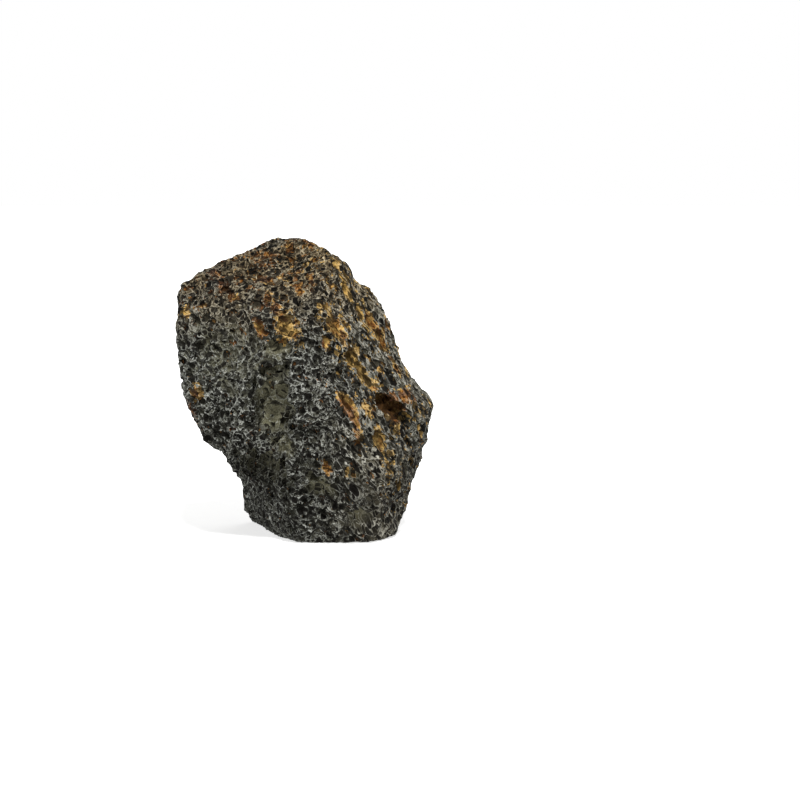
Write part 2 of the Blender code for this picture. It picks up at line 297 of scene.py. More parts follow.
# The finest bubbles are two nets of cells in the material: cells to a metre, how far their rims throw
# a shade in mm, and the width of a rim as a share of a cell, which swells and shrinks between two
# factors. A rim is full on the top share of its width, and its foot, the hole's edge and the ring's
# are shares of a cell. The cells are swayed by up to half the sway, and where the bubbles are drawn
# out, by more than a share that wanders, they are drawn out too.
NETS = [(130.0, 2.6, 0.05), (265.0, 1.4, 0.075)]
RIM_SWELL = (0.6, 1.2)
RIM_TOP = 0.4
RIM_FOOT = 0.3
HOLE = (0.39, 0.34)
RING = (0.52, 0.4)
SAME_MIDDLE = 1e-5
SWAY = 3.4 * MM
DRAW = 0.42
PULLED_FROM = 0.4
DRAWN_WANDER = 0.3
TO_LIGHT = (0.12, -0.47, 0.87)

# Clouds: how many to a metre, their detail and their roughness.
BROAD = (30.0, 3.0, 0.5)
MOTTLE = (210.0, 3.0, 0.6)
GRAIN = (900.0, 2.0, 0.6)
SWAYING = (160.0, 0.8, 0.5)

# The rest of the material: the colours of painted shade, black and brown over rust, the painted
# shade on the foot, darker towards the floor from one height to another in metres, how far rust
# covers the stone, how high the finest relief stands, and its sheen.
PAINTED_SHADE = (0.005, 0.0045, 0.0035)
RUSTY_PAINTED_SHADE = (0.02, 0.011, 0.004)
PAINTED_FOOT_SHADE = (0.03, 0.13, 0.76, 1.0)
RUST_COVER = 0.95
BUMP = 1.6 * MM
SHEEN = 0.05
POINT_VALUES = ("pit", "wall", "shade", "floor", "rust", "hue", "warm", "drawn")
NODE_APART = (220, 260)
NODE_COLUMNS = 8

# Rust and ochre patches: azimuth, elevation, half length and half width in mm, strength, and hue
# from 0, dark red, over 0.5, orange, to 1, pale ochre.
PATCHES = [
    # front, right of the middle and on the right
    (-4, 38, 13, 8, 1.0, 0.8), (-19, 35, 10, 4, 0.9, 0.5), (-6, 31, 6, 4, 0.7, 0.7),
    (-12, 45, 5, 4, 0.8, 0.3), (27, 40, 17, 7, 1.0, 0.8), (20, 32, 7, 4, 0.8, 0.6),
    (38, 25, 9, 7, 1.0, 0.85), (44, 16, 14, 5, 1.0, 0.85), (50, 8, 8, 5, 0.9, 0.8),
    (44, 57, 13, 4, 1.0, 0.95), (40, 64, 7, 3, 0.8, 0.9), (54, 47, 10, 4, 0.9, 0.9),
    (62, 40, 12, 5, 1.0, 0.75), (65, 31, 13, 6, 1.0, 0.75), (69, 17, 13, 5, 1.0, 0.8),
    (79, 20, 13, 4, 0.9, 0.8), (28, 0, 10, 4, 1.0, 0.55), (31, -7, 10, 4, 1.0, 0.55),
    (34, -16, 8, 4, 0.9, 0.7), (40, -3, 6, 4, 0.8, 0.75), (46, -18, 12, 5, 0.9, 0.75),
    (47, -28, 9, 5, 0.75, 0.7), (63, 2, 9, 5, 0.9, 0.6), (72, -4, 10, 4, 0.9, 0.6),
    (57, -14, 8, 4, 0.8, 0.7), (56, -5, 13, 9, 1.1, 0.45), (17, -32, 7, 4, 0.8, 0.6),
    (31, -35, 6, 4, 0.7, 0.7),
    # top
    (-26, 61, 8, 6, 1.0, 0.4), (-40, 47, 6, 5, 1.0, 0.5), (-18, 50, 6, 5, 0.8, 0.35),
    (-16, 65, 6, 4, 0.8, 0.5), (2, 56, 8, 4, 0.9, 0.5), (11, 60, 6, 4, 0.8, 0.5),
    (3, 65, 6, 4, 0.8, 0.4), (-24, 82, 8, 5, 0.8, 0.4), (28, 78, 8, 5, 0.9, 0.55),
    (20, 68, 6, 4, 0.7, 0.6), (-55, 70, 12, 6, 0.8, 0.25), (-68, 54, 7, 5, 0.9, 0.2),
    (-52, 50, 8, 5, 0.9, 0.2), (-35, 54, 6, 4, 0.8, 0.3), (-5, 72, 7, 5, 0.7, 0.45),
    (60, 70, 8, 5, 0.8, 0.7),
    # left
    (-62, 35, 6, 5, 0.9, 0.75), (-54, 3, 6, 5, 0.95, 0.7), (-98, 16, 27, 6, 0.9, 0.15),
    (-60, -9, 13, 6, 0.8, 0.15), (-80, 28, 10, 5, 0.6, 0.2),
    # sides and back
    (88, 40, 12, 6, 0.9, 0.7), (96, 14, 15, 6, 1.0, 0.75), (108, 30, 12, 5, 0.9, 0.6),
    (120, -12, 14, 6, 0.9, 0.6), (140, 14, 13, 6, 0.9, 0.5), (160, 40, 14, 7, 0.9, 0.5),
    (-170, 15, 10, 6, 0.9, 0.6), (-150, 30, 12, 7, 0.8, 0.3), (-120, 50, 12, 6, 0.9, 0.4),
    (-110, -8, 10, 6, 0.9, 0.5), (-140, -20, 10, 6, 0.8, 0.6), (172, -15, 12, 6, 0.8, 0.7),
]
SOLID = 1.9
FADE = 1.15
MOST_RUST = 1.3

# The top and the right side have a little rust everywhere. Each has where it starts, how far it takes
# to grow, and its strength. The right side starts further left the higher up it is.
TOP_RUST = (160 * MM, 50 * MM, 0.36)
RIGHT_RUST = (10 * MM, 45 * MM, 0.22)
RIGHT_LEAN = 0.35
LEFT_HUE = 0.3
RIGHT_HUE = 0.75

# The weathered top starts at a height and grows over a length, and the drawn-out side is a little
# weathered too.
WEATHERED_FROM = 150 * MM
WEATHERED_OVER = 60 * MM
DRAWN_WEATHERED = 0.3

# The studio. The camera looks at the middle of a square picture, in which the form centre has a place
# in pixels and a pixel is so wide at the stone.
PIXEL = 0.8 * MM
FORM_PIXEL = (300, 390)
PICTURE_MIDDLE = (400, 400)
LIT_PLACE = (0, 0, 0.11)
KEY_PLACE = (0.22, -0.85, 1.6)
KEY_ANGLE = np.radians(10)
FILL_PLACE = (-1.2, -0.9, 0.6)
FILL_SIZE = 0.8
BACK_PLACE = (0.5, 1.4, 0.9)
BACK_SIZE = 1.0
FLOOR_REACH = 6.0
PAPER = (0.72, 0.72, 0.71)
PAPER_ROUGHNESS = 0.9
PAPER_GLOW = 0.68
WHITE = (1, 1, 1, 1)


def cube_directions(steps, shift):
    """Directions and faces of a cube's sides cut in equal angles and blown up to a ball.

    Each side is a grid of tan(a), tan(b) for a and b from -45 to 45 degrees. The sides share their
    edges, so the ball is closed. Adding one shift to every direction packs the grid closer there.
    """
    across = np.tan(np.linspace(-np.pi / 4, np.pi / 4, steps + 1))
    u, v = np.meshgrid(across, across, indexing="ij")
    one = np.ones_like(u)
    sides = [(one, u, v), (-one, v, u), (v, one, u), (u, -one, v), (u, v, one), (v, u, -one)]
    points = np.concatenate([np.stack(side, axis=-1).reshape(-1, 3) for side in sides])
    corner = np.arange((steps + 1) ** 2).reshape(steps + 1, steps + 1)
    quads = np.stack([corner[:-1, :-1], corner[1:, :-1], corner[1:, 1:], corner[:-1, 1:]], axis=-1)
    quads = np.concatenate([quads.reshape(-1, 4) + side * corner.size for side in range(len(sides))])
    points /= np.linalg.norm(points, axis=1, keepdims=True)
    rounded = np.round(points * 1e7).astype(np.int64)
    _, first, where = np.unique(rounded, axis=0, return_index=True, return_inverse=True)
    points, quads = points[first] + shift, where.reshape(-1)[quads]
    return points / np.linalg.norm(points, axis=1, keepdims=True), quads


def vertex_normals(points, quads):
    """Unit normals: the sum of the face normals, each the cross product of a face's diagonals."""
    corners = points[quads]
    face = np.cross(corners[:, 2] - corners[:, 0], corners[:, 3] - corners[:, 1])
    total = [np.bincount(quads.ravel(), np.repeat(part, 4), len(points)) for part in face.T]
    total = np.stack(total, axis=1)
    return total / np.linalg.norm(total, axis=1, keepdims=True)


def seated(points):
    """Points drawn towards the form centre so that none is under the base, with a rounded lower edge."""
    under = np.maximum(-(points[:, 2] - FORM_CENTRE[2]) / FORM_CENTRE[2], 0)
    shrink = (1 + under ** BASE_ROUNDING) ** (1 / BASE_ROUNDING)
    return (points - FORM_CENTRE) / shrink[:, None] + FORM_CENTRE


def drawn_share(points):
    """How far bubbles at each point are drawn out along the flow, from 0 at the left to 1 at the right."""
    return np.clip((points[:, 0] - DRAWN_FROM) / (DRAWN_TO - DRAWN_FROM), 0, 1)


def floor_share(directions):
    """How far the surface in each direction lies on a hollow's smooth floor, from 0 to 1."""
    plain = plain_form(directions)
    share = np.zeros(len(plain))
    ragged = waves(plain, RAGGED_LENGTH, 7)
    for hollow in HOLLOWS:
        _, _, radius, _, _, level, _ = hollow
        calm = 1.0 if level >= LEVEL_FLOOR else DISH_CALM * (radius > DISH_RADIUS)
        share = np.maximum(share, calm * hollow_share(plain, hollow, ragged))
    return share


def small_bubbles():
    """Places, mouth half widths, stretches and depths of the bubbles that only the finish has.

    Each lies at a random place in a cell of its own, so that a wall stays between neighbours.
    """
    rng = np.random.default_rng(FINISH_SEED)
    sets = []
    for cells, share, narrow, wide, most_stretch, deepest in BUBBLE_SETS:
        corners, quads = cube_directions(cells, BUBBLE_SHIFT)
        aside, up = rng.uniform(0.5 - JITTER, 0.5 + JITTER, (2, len(quads), 1))
        low = corners[quads[:, 0]] * (1 - aside) + corners[quads[:, 1]] * aside
        high = corners[quads[:, 3]] * (1 - aside) + corners[quads[:, 2]] * aside
        directions = low * (1 - up) + high * up
        directions /= np.linalg.norm(directions, axis=1, keepdims=True)
        keep = rng.uniform(0, 1, len(quads)) < share * (1 - FLOOR_CALM * floor_share(directions))
        places = form(directions[keep])
        drawn = drawn_share(places)
        tree = KDTree(len(places))
        for index, place in enumerate(places):
            tree.insert(place, index)
        tree.balance()
        apart = np.array([tree.find_n(place, 2)[1][2] for place in places]) / MM
        widths = TOUCH * apart / 2 / np.sqrt(1 + (most_stretch - 1) * drawn)
        widths = np.clip(widths * rng.uniform(0.7, 1, len(places)), narrow, wide)
        depths = widths * deepest * rng.uniform(SHALLOW, 1, len(places))
        sets.append((places, widths * MM, 1 + (most_stretch - 1) * drawn, depths * MM))
    return [np.concatenate(columns) for columns in zip(*sets)]


def carve(points, normals, places, widths, stretches, depths):
    """Points moved into the bubbles, and how deep each lies, how near a crest it is and how shaded.

    A bubble is a ball that cuts the surface in a mouth of half width w and is d deep, so its radius
    is (w * w + d * d) / 2d. A point inside the mouth sinks to the ball's far wall, and one next to
    the rim slides onto it, so that the rim is sharp. The far wall is shifted up the flow, or upwards
    where the bubbles are round, so that it runs in under the upper rim. The crests are the rims and
    the sharp walls between two bubbles that run into each other, where both are equally deep, and
    they get a painted highlight in the material. The shaded part of a bubble is its upper end, under
    the rim, which gets painted shade in the material.
    """
    flow = FLOW / np.linalg.norm(FLOW)
    sunk = np.zeros(len(points))
    second = np.zeros(len(points))
    share = np.zeros(len(points))
    shade = np.zeros(len(points))
    slide = np.zeros_like(points)
    drawn = drawn_share(points)[:, None]
    upstream = -flow * drawn + np.array([0, 0, 1]) * (1 - drawn)
    upstream /= np.linalg.norm(upstream, axis=1, keepdims=True)
    nearest = np.full(len(points), WALL_WIDTH)
    order = np.argsort(points[:, 2])
    heights = points[order, 2]
    radii = (widths ** 2 + depths ** 2) / (2 * depths)
    for place, width, stretch, depth, radius in zip(places, widths, stretches, depths, radii):
        reach = (width + WALL_WIDTH) * stretch
        first, last = np.searchsorted(heights, [place[2] - reach, place[2] + reach])
        near = order[first:last]
        offset = points[near] - place
        along = offset @ flow
        away = np.sqrt(np.maximum((offset ** 2).sum(axis=1) - (1 - stretch ** -2) * along ** 2, 1e-12))
        gap = away - width
        inside = gap < -RIM_SNAP / 2
        hit = near[inside]
        drop = depth - radius + np.sqrt(radius ** 2 - away[inside] ** 2)
        deeper = drop > sunk[hit]
        second[hit] = np.maximum(second[hit], np.minimum(drop, sunk[hit]))
        sunk[hit[deeper]] = drop[deeper]
        share[hit[deeper]] = np.minimum(drop[deeper] / width, 1)
        end = width * (1 + (stretch - 1) * np.abs(upstream[hit] @ flow))
        lean = (offset[inside] * upstream[hit]).sum(axis=1) / end
        steep = min(SHADE_DEPTH * depth / width, 1)
        shade[hit[deeper]] = steep * np.clip((lean[deeper] - SHADE_FROM) / SHADE_WIDTH, 0, 1)
        close = np.abs(gap) < nearest[near]
        edge = near[close]
        nearest[edge] = np.abs(gap[close])
        slide[edge] = -offset[close] * (gap[close] / away[close])[:, None]
    slide[(sunk > 0) | (nearest > RIM_SNAP)] = 0
    crest = np.clip(1 - (sunk - second) / CREST_DROP, 0, 1)
    wall = np.where(sunk > 0, crest, nearest < RIM_SNAP)
    shift = UNDERCUT * (ROUND_UNDERCUT + (1 - ROUND_UNDERCUT) * drawn) * upstream
    return points + (shift - normals) * sunk[:, None] + slide, share, wall, shade


def patch_colours(points):
    """Strength and hue of the rust and ochre at each point.

    The top and the right side have a little everywhere, and the listed patches add to that.
    """
    flow = FLOW / np.linalg.norm(FLOW)
    top_start, top_rise, top_most = TOP_RUST
    right_start, right_rise, right_most = RIGHT_RUST
    lean = RIGHT_LEAN * (points[:, 2] - FORM_CENTRE[2])
    top = np.clip((points[:, 2] - top_start) / top_rise, 0, 1)
    right = np.clip((points[:, 0] + lean - right_start) / right_rise, 0, 1)
    strength = np.maximum(top_most * top, right_most * right)
    hue = LEFT_HUE + (RIGHT_HUE - LEFT_HUE) * right
    for azimuth, elevation, length, width, most, tint in PATCHES:
        middle = form(unit(azimuth, elevation)[None, :])[0]
        offset = points - middle
        along = offset @ flow
        aside = np.sqrt(np.maximum((offset ** 2).sum(axis=1) - along ** 2, 0))
        away = np.sqrt((along / (length * MM)) ** 2 + (aside / (width * MM)) ** 2)
        here = most * np.clip(SOLID - FADE * away, 0, MOST_RUST)
        hue = np.where(here > strength, tint, hue)
        strength = np.maximum(strength, here)
    return strength, hue


def colour_choice(name, description, default):
    """A colour that the user can change."""
    return FloatVectorProperty(name=name, description=description, subtype='COLOR', size=3, default=default)


class LavaRockSettings(bpy.types.PropertyGroup):
    """Fineness and colours of the stone's surface."""
    grid_steps: IntProperty(
        name="Grid Steps", description="Cells along each side of the cube that the surface starts from",
        default=128, min=8, max=128)
    basalt: colour_choice("Basalt", "Colour of the bare stone", (0.054, 0.054, 0.041))
    basalt_dark: colour_choice("Dark Basalt", "Colour of the darker stone", (0.029, 0.029, 0.021))
    # The two wall colours are painted highlights on the bubbles' rims.
    wall: colour_choice("Bubble Wall", "Colour of the thin walls between bubbles", (0.42, 0.43, 0.395))
    warm_painted_highlight: colour_choice("Warm Wall", "Colour of the walls on the weathered stone", (0.45, 0.37, 0.235))
    olive: colour_choice("Hollow Floor", "Colour of the smooth floors of hollows", (0.155, 0.147, 0.09))
    crust: colour_choice("Crust", "Colour of the weathered top", (0.075, 0.053, 0.027))
    ochre: colour_choice("Ochre", "Colour of the palest rust", (0.4, 0.25, 0.072))
    orange: colour_choice("Orange", "Colour of the strong rust", (0.2, 0.077, 0.013))
    red: colour_choice("Red", "Colour of the darkest rust", (0.085, 0.033, 0.014))


class LavaRockStageSettings(bpy.types.PropertyGroup):
    """Camera and lights."""
    lens: FloatProperty(name="Lens", description="Focal length in millimetres", default=90.0)
    distance: FloatProperty(name="Distance", description="Camera to stone", unit='LENGTH', default=1.6)
    elevation: FloatProperty(
        name="Elevation", description="Height of the camera's view", subtype='ANGLE', default=np.radians(8))
    key_power: FloatProperty(name="Key Light", description="Strength of the main light", default=4.15)
    fill_power: FloatProperty(
        name="Fill Light", description="Power of the side light", unit='POWER', default=4.0)
    back_power: FloatProperty(
        name="Back Light", description="Power of the light from behind", unit='POWER', default=9.0)
    sky: FloatProperty(name="Sky", description="Strength of the even light from all round", default=0.24)


class NodeTree:
    """Adds nodes to a tree and joins their sockets."""

    def __init__(self, tree):
        self.tree = tree
        self.count = 0

    def put(self, socket, value):
        """Gives a socket a value, or joins it to another node's output."""
        if isinstance(value, bpy.types.NodeSocket):
            self.tree.links.new(value, socket)
        else:
            socket.default_value = value

    def add(self, kind, inputs=None, **settings):
        """A node of a kind, with settings, and inputs given as values or as other nodes' outputs."""
        node = self.tree.nodes.new(kind)
        row, column = divmod(self.count, NODE_COLUMNS)
        node.location = (NODE_APART[0] * column, -NODE_APART[1] * row)
        self.count += 1
        for name, value in settings.items():
            setattr(node, name, value)
        for name, value in (inputs or {}).items():
            self.put(node.inputs[name], value)
        return node

    def math(self, operation, first, second=0.0):
        """The output of a Math node."""
        return self.add('ShaderNodeMath', {0: first, 1: second}, operation=operation).outputs[0]

    def chain(self, operation, numbers):
        """Numbers taken together one after the other with one operation."""
        result = numbers[0]
        for number in numbers[1:]:
            result = self.math(operation, result, number)
        return result

    def total(self, *numbers):
        """The sum of numbers."""
        return self.chain('ADD', numbers)

    def product(self, *numbers):
        """The product of numbers."""
        return self.chain('MULTIPLY', numbers)

    def largest(self, *numbers):
        """The largest of numbers."""
        return self.chain('MAXIMUM', numbers)

    def rest(self, share):
        """What a share leaves of 1."""
        return self.math('SUBTRACT', 1.0, share)

    def between(self, value, low, high, to_low=0.0, to_high=1.0):
        """A value eased from low to high into another range."""
        inputs = {'Value': value, 'From Min': low, 'From Max': high, 'To Min': to_low, 'To Max': to_high}
        return self.add('ShaderNodeMapRange', inputs, interpolation_type='SMOOTHSTEP').outputs['Result']

    def mix(self, share, first, second, blend='MIX', kind='Color'):
        """The output of a Mix node for colours or, with the kind Vector, for vectors."""
        data_type = {'Color': 'RGBA', 'Vector': 'VECTOR'}[kind]
        node = self.add('ShaderNodeMix', data_type=data_type, blend_type=blend)
        inputs = {socket.identifier: socket for socket in node.inputs}
        for name, value in (('Factor_Float', share), (f'A_{kind}', first), (f'B_{kind}', second)):
            self.put(inputs[name], value)
        return next(socket for socket in node.outputs if socket.identifier == f'Result_{kind}')

    def vector(self, operation, first, second):
        """The vector output of a Vector Math node."""
        return self.add('ShaderNodeVectorMath', {0: first, 1: second}, operation=operation).outputs['Vector']

    def mapping(self, vector, **settings):
        """A vector turned or scaled by a Mapping node."""
        return self.add('ShaderNodeMapping', {'Vector': vector, **settings}).outputs['Vector']

    def clouds(self, place, scale, detail, roughness):
        """The outputs of a Noise Texture node."""
        inputs = {'Vector': place, 'Scale': scale, 'Detail': detail, 'Roughness': roughness}
        return self.add('ShaderNodeTexNoise', inputs).outputs

    def attribute(self, name):
        """A number stored on the mesh's points."""
        return self.add('ShaderNodeAttribute', attribute_name=name).outputs['Fac']


def full(colour):
    """A colour with alpha 1."""
    return (*colour, 1.0)


def bubble_net(tree, vector, lit_vector, scale, rim):
    """The masks and random numbers of one net of small bubbles, which are Voronoi cells.

    The wall is a cell's border, rim wide. A place is shaded where the place a short way towards the
    light, the lit vector, lies in another cell. The hole is a ball about a cell's middle, and the ring
    lies round it. Chance and other are two random numbers for each cell.
    """
    inputs = {'Vector': vector, 'Scale': scale}
    edge = tree.add('ShaderNodeTexVoronoi', inputs, feature='DISTANCE_TO_EDGE').outputs['Distance']
    cell = tree.add('ShaderNodeTexVoronoi', inputs).outputs
    lit_cell = tree.add('ShaderNodeTexVoronoi', {'Vector': lit_vector, 'Scale': scale}).outputs
    middles = {0: cell['Position'], 1: lit_cell['Position']}
    apart = tree.add('ShaderNodeVectorMath', middles, operation='DISTANCE').outputs['Value']
    chances = tree.add('ShaderNodeSeparateColor', {'Color': cell['Color']}).outputs
    hole = tree.between(cell['Distance'], *HOLE)
    return SimpleNamespace(
        wall=tree.between(edge, rim, tree.product(rim, RIM_TOP)),
        shaded=tree.math('GREATER_THAN', apart, SAME_MIDDLE),
        height=tree.between(edge, RIM_FOOT, 0.0),
        hole=hole,
        ring=tree.math('SUBTRACT', tree.between(cell['Distance'], *RING), hole),
        chance=chances['Red'],
        other=chances['Green'],
    )


def bubble_nets(tree, place, mottle, drawn):
    """The wide and the fine net of small bubbles.

    Every place is swayed by clouds first. Where the bubbles are drawn out, the cells are turned and
    stretched along the flow. The rims are wider and narrower with the mottling.
    """
    sway = tree.vector('SUBTRACT', tree.clouds(place, *SWAYING)['Color'], (0.5, 0.5, 0.5))
    swayed = tree.vector('ADD', place, tree.vector('MULTIPLY', sway, (SWAY, SWAY, SWAY)))
    turn = np.arctan2(-FLOW[0], FLOW[2]) + np.pi
    streaked = tree.mapping(tree.mapping(swayed, Rotation=(0.0, turn, 0.0)), Scale=(1.0, 1.0, DRAW))
    edge = tree.between(mottle, 0.3, 0.7, -DRAWN_WANDER, DRAWN_WANDER)
    pulled = tree.math('GREATER_THAN', tree.total(drawn, edge), PULLED_FROM)
    vector = tree.mix(pulled, swayed, streaked, kind='Vector')
    x, y, z = TO_LIGHT
    streaked_light = (x * np.cos(turn) + z * np.sin(turn), y, DRAW * (z * np.cos(turn) - x * np.sin(turn)))
    towards = tree.mix(pulled, TO_LIGHT, streaked_light, kind='Vector')
    swell = tree.between(mottle, 0.36, 0.62, *RIM_SWELL)
    nets = []
    for scale, reach, rim in NETS:
        step = tree.vector('MULTIPLY', towards, (reach * MM, reach * MM, reach * MM))
        lit_vector = tree.vector('ADD', vector, step)
        nets.append(bubble_net(tree, vector, lit_vector, scale, tree.product(swell, rim)))
    return nets


def read_skin(tree):
    """All that the material knows of a place on the stone, by name: stored numbers, clouds and bubbles."""
    skin = SimpleNamespace(**{name: tree.attribute(name) for name in POINT_VALUES})
    skin.place = tree.add('ShaderNodeTexCoord').outputs['Object']
    skin.broad = tree.clouds(skin.place, *BROAD)['Fac']
    skin.mottle = tree.clouds(skin.place, *MOTTLE)['Fac']
    skin.grain = tree.clouds(skin.place, *GRAIN)['Fac']
    skin.wide, skin.fine = bubble_nets(tree, skin.place, skin.mottle, skin.drawn)
    skin.calm = tree.rest(tree.product(skin.floor, FLOOR_COVER))
    skin.cup = tree.product(tree.between(skin.wide.chance, 0.15, 0.4), skin.calm)
    skin.outside = tree.between(skin.pit, 0.15, 0.45, 1.0, 0.25)
    skin.wide_holes = tree.product(tree.between(skin.wide.other, 0.62, 0.66), skin.calm)
    skin.fine_holes = tree.product(tree.between(skin.fine.other, 0.6, 0.64), skin.calm)
    skin.stain = rust_share(tree, skin)
    return skin


def rust_share(tree, skin):
    """Where rust covers the stone: cell by cell at a patch's edge, and in bubbles before walls."""
    spread = tree.between(skin.rust, 0.0, 0.3, 0.2, 0.6)
    share = tree.total(
        skin.rust,
        tree.product(tree.math('SUBTRACT', skin.wide.chance, 0.5), spread),
        tree.product(tree.math('SUBTRACT', skin.fine.chance, 0.5), 0.3),
        tree.between(skin.mottle, 0.35, 0.65, -0.3, 0.3),
        tree.between(skin.pit, 0.02, 0.22, -0.2, 0.16),
        tree.product(skin.wide.wall, -0.3),
    )
    return tree.between(share, 0.5, 0.56)


def stone_colour(tree, skin, settings):
    """Clouded basalt, olive on the hollows' floors and brown on the weathered top."""
    colour = tree.mix(tree.between(skin.broad, 0.35, 0.65), full(settings.basalt_dark), full(settings.basalt))
    colour = tree.mix(tree.between(skin.wide.other, 0.0, 1.0, 0.0, 0.6), colour, full(settings.basalt))
    colour = tree.mix(tree.product(skin.floor, FLOOR_COVER), colour, full(settings.olive))
    weathered = tree.product(skin.warm, tree.between(skin.broad, 0.35, 0.6, 0.3, 1.0))
    return tree.mix(weathered, colour, full(settings.crust))


def rust_colour(tree, skin, settings):
    """Dark red, orange or ochre by a patch's hue, which differs a little from cell to cell."""
    age = tree.total(
        skin.hue,
        tree.between(skin.wide.other, 0.1, 0.9, -0.2, 0.2),
        tree.between(skin.mottle, 0.35, 0.65, -0.2, 0.2),
    )
    colour = tree.mix(tree.between(age, 0.05, 0.5), full(settings.red), full(settings.orange))
    colour = tree.mix(tree.between(age, 0.45, 0.85), colour, full(settings.ochre))
    return tree.mix(1.0, colour, tree.between(skin.mottle, 0.35, 0.65, 0.8, 1.3), 'MULTIPLY')


def painted_highlight_colour(tree, skin, settings):
    """Painted highlights on the bubble walls: pale grey, warmer where the stone is weathered."""
    weathered = tree.product(skin.warm, tree.between(skin.broad, 0.35, 0.6, 0.4, 1.0))
    return tree.mix(weathered, full(settings.wall), full(settings.warm_painted_highlight))


def painted_highlight_share(tree, skin):
    """How far painted highlights cover the stone: on the bubble walls and in rings round holes. They are
    fainter over rust.
    """
    lively = tree.between(skin.broad, 0.36, 0.56, 0.45, 1.1)
    strong = tree.between(skin.mottle, 0.4, 0.58, 0.25, 0.9)
    faint = tree.between(skin.mottle, 0.4, 0.56, 0.08, 0.5)
    carved = tree.between(skin.mottle, 0.38, 0.56, 0.1, 0.5)
    share = tree.largest(
        tree.product(skin.wide.wall, skin.cup, skin.outside, lively, strong),
        tree.product(skin.fine.wall, skin.calm, skin.outside, lively, faint),
        tree.product(tree.between(skin.wall, 0.5, 0.9), carved),
        tree.product(skin.wide.ring, skin.wide_holes, skin.outside, 0.4),
        tree.product(skin.fine.ring, skin.fine_holes, skin.outside, 0.35),
    )
    return tree.product(share, tree.rest(tree.product(skin.stain, 0.6)))


def painted_shade_share(tree, skin):
    """How far painted shade covers the stone: painted shadows under rims, and painted shade in holes, in some
    whole cells and in the carved bubbles.
    """
    in_wide, in_fine = tree.rest(skin.wide.wall), tree.rest(skin.fine.wall)
    share = tree.largest(
        tree.product(skin.wide.shaded, skin.cup, in_wide, 0.9),
        tree.product(skin.fine.shaded, skin.calm, in_fine, 0.72),
        tree.product(tree.between(skin.fine.chance, 0.7, 0.74), in_fine, 0.9),
        tree.product(skin.wide.hole, skin.wide_holes),
        tree.product(skin.fine.hole, skin.fine_holes),
        # Painted shade in deep carved bubbles, and painted shadow under their upper rims.
        tree.between(skin.pit, 0.35, 0.95, 0.0, 0.95),
        tree.between(skin.shade, 0.3, 0.7, 0.0, 0.93),
    )
    return tree.product(share, tree.rest(tree.product(skin.stain, 0.1)))


def basalt_material(settings):
    """Bubbled basalt: dark stone with rust in patches, painted highlights on the bubble walls, and painted
    shade in the pits and under the rims.
    """
    material = bpy.data.materials.new("bubbled basalt")
    material.use_nodes = True
    tree = NodeTree(material.node_tree)
    skin = read_skin(tree)
    colour = stone_colour(tree, skin, settings)
    colour = tree.mix(tree.product(skin.stain, RUST_COVER), colour, rust_colour(tree, skin, settings))
    # Painted highlights on the bubble walls and in rings round holes.
    colour = tree.mix(painted_highlight_share(tree, skin), colour, painted_highlight_colour(tree, skin, settings))
    colour = tree.mix(1.0, colour, tree.between(skin.grain, 0.35, 0.65, 0.8, 1.2), 'MULTIPLY')
    # Painted shade: the foot is darker towards the floor.
    up = tree.add('ShaderNodeSeparateXYZ', {'Vector': skin.place}).outputs['Z']
    colour = tree.mix(1.0, colour, tree.between(up, *PAINTED_FOOT_SHADE), 'MULTIPLY')
    # Painted shade over everything: black, and brown where rust lines a deep bubble.
    rusty_painted_shade = tree.product(tree.between(skin.rust, 0.3, 0.7), tree.between(skin.pit, 0.5, 0.9))
    colour = tree.mix(painted_shade_share(tree, skin), colour, tree.mix(rusty_painted_shade, full(PAINTED_SHADE), full(RUSTY_PAINTED_SHADE)))
    height = tree.total(
        tree.product(skin.wide.height, skin.cup),
        tree.product(skin.fine.height, 0.35),
        tree.product(skin.mottle, 0.4),
        tree.product(skin.grain, 0.2),
    )
    bump = tree.add('ShaderNodeBump', {'Strength': 1.0, 'Distance': BUMP, 'Height': height})
    shader = material.node_tree.nodes["Principled BSDF"].inputs
    tree.put(shader['Base Color'], colour)
    tree.put(shader['Roughness'], tree.between(skin.grain, 0.3, 0.7, 0.6, 0.9))
    tree.put(shader['Normal'], bump.outputs['Normal'])
    tree.put(shader['Specular IOR Level'], SHEEN)
    return material


